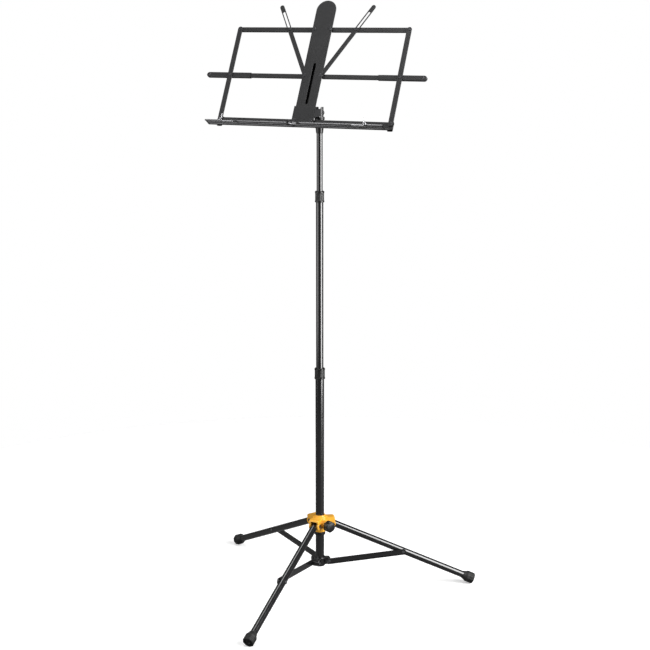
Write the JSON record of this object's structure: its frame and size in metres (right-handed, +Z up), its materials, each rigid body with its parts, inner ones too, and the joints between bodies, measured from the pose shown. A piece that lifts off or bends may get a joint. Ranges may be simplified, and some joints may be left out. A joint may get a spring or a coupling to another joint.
{
  "type": "music stand",
  "caption": "Folding music stand with a telescopic column, a tripod base on a sliding hub, and a tilting wire-frame desk with a ledge and page holders.",
  "frame": {"origin": "on the column's axis at floor level", "axes": "+Z up the column; the desk faces -Y; +X to the player's right of the desk seen from the front"},
  "size_m": [0.6192, 0.5393, 1.2927],
  "materials": {
    "tube_black": "gloss black powder coat",
    "desk_black": "satin black powder coat on sheet steel",
    "amber_plastic": "semi-gloss moulded amber plastic",
    "black_plastic": "fine-grained moulded plastic",
    "rubber": "matte rubber",
    "bright_wire": "bright drawn wire",
    "rivet_steel": "black rivets",
    "bolt_steel": "plated steel",
    "guide_plastic": "pale nylon"
  },
  "bodies": {
    "column": {"bottom_bracket": "tube_black", "bottom_plug": "black_plastic", "lower_tube": "tube_black", "stop_ring": "black_plastic", "bracket_rivets": "rivet_steel", "lower_clutch_sleeve": "black_plastic"},
    "lower_collar": {"lower_clutch_collar": "black_plastic"},
    "middle_mast": {"middle_tube": "tube_black", "middle_tube_bush": "guide_plastic", "upper_clutch_sleeve": "black_plastic"},
    "upper_collar": {"upper_clutch_collar": "black_plastic"},
    "upper_mast": {"upper_tube": "tube_black", "upper_tube_bush": "guide_plastic"},
    "head": {"head_socket": "black_plastic", "tilt_fork": "desk_black", "tilt_bolt": "bolt_steel"},
    "desk": {"tilt_bracket": "desk_black", "rear_spine": "desk_black", "centre_plate": "desk_black", "plate_shoe": "desk_black", "plate_rivets": "rivet_steel"},
    "hub": {"hub": "amber_plastic", "leg_pins": "rivet_steel"},
    "lock": {"lock_knob": "black_plastic", "lock_screw": "bolt_steel"},
    "leg_right": {"leg_tube_right": "tube_black", "foot_right": "rubber"},
    "brace_right": {"stay_right": "tube_black", "stay_rivets_right": "rivet_steel"},
    "leg_left": {"leg_tube_left": "tube_black", "foot_left": "rubber"},
    "brace_left": {"stay_left": "tube_black", "stay_rivets_left": "rivet_steel"},
    "leg_front": {"leg_tube_front": "tube_black", "foot_front": "rubber"},
    "brace_front": {"stay_front": "tube_black", "stay_rivets_front": "rivet_steel"},
    "top_arm_right": {"top_bar_right": "desk_black", "guide_pin_right": "rivet_steel"},
    "side_arm_right": {"side_bar_right": "desk_black", "side_rivets_right": "rivet_steel"},
    "mid_arm_right": {"cross_arm_right": "desk_black"},
    "arm_tip_right": {"arm_end_right": "desk_black"},
    "ledge_half_right": {"ledge_right": "desk_black"},
    "holder_right": {"page_holder_right": "bright_wire", "holder_tip_right": "black_plastic"},
    "page_rod_right": {"page_arm_right": "desk_black"},
    "top_arm_left": {"top_bar_left": "desk_black", "guide_pin_left": "rivet_steel"},
    "side_arm_left": {"side_bar_left": "desk_black", "side_rivets_left": "rivet_steel"},
    "mid_arm_left": {"cross_arm_left": "desk_black"},
    "arm_tip_left": {"arm_end_left": "desk_black"},
    "ledge_half_left": {"ledge_left": "desk_black"},
    "holder_left": {"page_holder_left": "bright_wire", "holder_tip_left": "black_plastic"},
    "page_rod_left": {"page_arm_left": "desk_black"}
  },
  "joints": [
    {"name": "middle_slide", "type": "slide", "parent": "column", "child": "middle_mast", "axis": [0, 0, 1], "range_m": [-0.36, 0]},
    {"name": "upper_slide", "type": "slide", "parent": "middle_mast", "child": "upper_mast", "axis": [0, 0, 1], "range_m": [-0.12, 0.235]},
    {"name": "lower_clutch_twist", "type": "hinge", "parent": "column", "child": "lower_collar", "pos_m": [0, 0, 0.49], "axis": [0, 0, 1], "range_deg": [0, 120]},
    {"name": "upper_clutch_twist", "type": "hinge", "parent": "middle_mast", "child": "upper_collar", "pos_m": [0, 0, 0.88], "axis": [0, 0, 1], "range_deg": [0, 120]},
    {"name": "desk_swivel", "type": "hinge", "parent": "upper_mast", "child": "head", "pos_m": [0, 0, 1.033], "axis": [0, 0, 1], "continuous": true},
    {"name": "desk_tilt", "type": "hinge", "parent": "head", "child": "desk", "pos_m": [0, 0, 1.062], "axis": [1, 0, 0], "range_deg": [-45, 16]},
    {"name": "hub_slide", "type": "slide", "parent": "column", "child": "hub", "axis": [0, 0, 1], "range_m": [0, 0.25665]},
    {"name": "lock_turn", "type": "hinge", "parent": "hub", "child": "lock", "pos_m": [0.02598, -0.015, 0.1565], "axis": [0.866, -0.5, 0], "range_deg": [0, 330]},
    {"name": "leg_fold_right", "type": "hinge", "parent": "hub", "child": "leg_right", "pos_m": [0.02165, 0.0125, 0.1565], "axis": [-0.5, 0.866, 0], "range_deg": [0, 62.77]},
    {"name": "stay_fold_right", "type": "hinge", "parent": "column", "child": "brace_right", "pos_m": [0.01645, 0.0095, 0.067], "axis": [0.5, -0.866, 0], "range_deg": [0, 79.26]},
    {"name": "leg_fold_left", "type": "hinge", "parent": "hub", "child": "leg_left", "pos_m": [-0.02165, 0.0125, 0.1565], "axis": [-0.5, -0.866, 0], "range_deg": [0, 62.77]},
    {"name": "stay_fold_left", "type": "hinge", "parent": "column", "child": "brace_left", "pos_m": [-0.01645, 0.0095, 0.067], "axis": [0.5, 0.866, 0], "range_deg": [0, 79.26]},
    {"name": "leg_fold_front", "type": "hinge", "parent": "hub", "child": "leg_front", "pos_m": [0, -0.025, 0.1565], "axis": [1, 0, 0], "range_deg": [0, 62.77]},
    {"name": "stay_fold_front", "type": "hinge", "parent": "column", "child": "brace_front", "pos_m": [0, -0.019, 0.067], "axis": [-1, 0, 0], "range_deg": [0, 79.26]},
    {"name": "desk_fold_right", "type": "hinge", "parent": "desk", "child": "top_arm_right", "pos_m": [0.018, 0.01752, 1.23294], "axis": [0, -0.8862, 0.4633], "range_deg": [0, 80]},
    {"name": "side_fold_right", "type": "hinge", "parent": "top_arm_right", "child": "side_arm_right", "pos_m": [0.194, 0.01593, 1.23377], "axis": [0, -0.8862, 0.4633], "range_deg": [-80.01, 0]},
    {"name": "cross_fold_right", "type": "hinge", "parent": "desk", "child": "mid_arm_right", "pos_m": [0.018, -0.03052, 1.13845], "axis": [0, -0.8862, 0.4633], "range_deg": [0, 80.01]},
    {"name": "ledge_fold_right", "type": "hinge", "parent": "desk", "child": "ledge_half_right", "pos_m": [0.018, -0.07884, 1.04861], "axis": [0, -0.8862, 0.4633], "range_deg": [0, 80.01]},
    {"name": "page_fold_right", "type": "hinge", "parent": "desk", "child": "page_rod_right", "pos_m": [0.018, -0.03318, 1.13984], "axis": [0, -0.8862, 0.4633], "range_deg": [0, 25.02]},
    {"name": "arm_slide_right", "type": "slide", "parent": "mid_arm_right", "child": "arm_tip_right", "axis": [1, 0, 0], "range_m": [-0.038, 0.03]},
    {"name": "holder_turn_right", "type": "hinge", "parent": "ledge_half_right", "child": "holder_right", "pos_m": [0.162, -0.13703, 1.0517], "axis": [0, 0.8862, -0.4633], "range_deg": [0, 90]},
    {"name": "desk_fold_left", "type": "hinge", "parent": "desk", "child": "top_arm_left", "pos_m": [-0.018, 0.01752, 1.23294], "axis": [0, 0.8862, -0.4633], "range_deg": [0, 80]},
    {"name": "side_fold_left", "type": "hinge", "parent": "top_arm_left", "child": "side_arm_left", "pos_m": [-0.194, 0.01593, 1.23377], "axis": [0, 0.8862, -0.4633], "range_deg": [-80.01, 0]},
    {"name": "cross_fold_left", "type": "hinge", "parent": "desk", "child": "mid_arm_left", "pos_m": [-0.018, -0.03052, 1.13845], "axis": [0, 0.8862, -0.4633], "range_deg": [0, 80.01]},
    {"name": "ledge_fold_left", "type": "hinge", "parent": "desk", "child": "ledge_half_left", "pos_m": [-0.018, -0.07884, 1.04861], "axis": [0, 0.8862, -0.4633], "range_deg": [0, 80.01]},
    {"name": "page_fold_left", "type": "hinge", "parent": "desk", "child": "page_rod_left", "pos_m": [-0.018, -0.03318, 1.13984], "axis": [0, 0.8862, -0.4633], "range_deg": [0, 25.02]},
    {"name": "arm_slide_left", "type": "slide", "parent": "mid_arm_left", "child": "arm_tip_left", "axis": [-1, 0, 0], "range_m": [-0.038, 0.03]},
    {"name": "holder_turn_left", "type": "hinge", "parent": "ledge_half_left", "child": "holder_left", "pos_m": [-0.162, -0.13703, 1.0517], "axis": [0, -0.8862, 0.4633], "range_deg": [0, 90]}
  ],
  "couplings": [
    {"joint": "leg_fold_right", "follows": "hub_slide", "rad_per_m": 4.2672},
    {"joint": "stay_fold_right", "follows": "hub_slide", "rad_per_m": 5.3886},
    {"joint": "leg_fold_left", "follows": "hub_slide", "rad_per_m": 4.2672},
    {"joint": "stay_fold_left", "follows": "hub_slide", "rad_per_m": 5.3886},
    {"joint": "leg_fold_front", "follows": "hub_slide", "rad_per_m": 4.2672},
    {"joint": "stay_fold_front", "follows": "hub_slide", "rad_per_m": 5.3886},
    {"joint": "side_fold_right", "follows": "desk_fold_right", "ratio": -1},
    {"joint": "cross_fold_right", "follows": "desk_fold_right", "ratio": 1},
    {"joint": "ledge_fold_right", "follows": "desk_fold_right", "ratio": 1},
    {"joint": "page_fold_right", "follows": "desk_fold_right", "ratio": 0.31253},
    {"joint": "side_fold_left", "follows": "desk_fold_left", "ratio": -1},
    {"joint": "cross_fold_left", "follows": "desk_fold_left", "ratio": 1},
    {"joint": "ledge_fold_left", "follows": "desk_fold_left", "ratio": 1},
    {"joint": "page_fold_left", "follows": "desk_fold_left", "ratio": 0.31253}
  ]
}
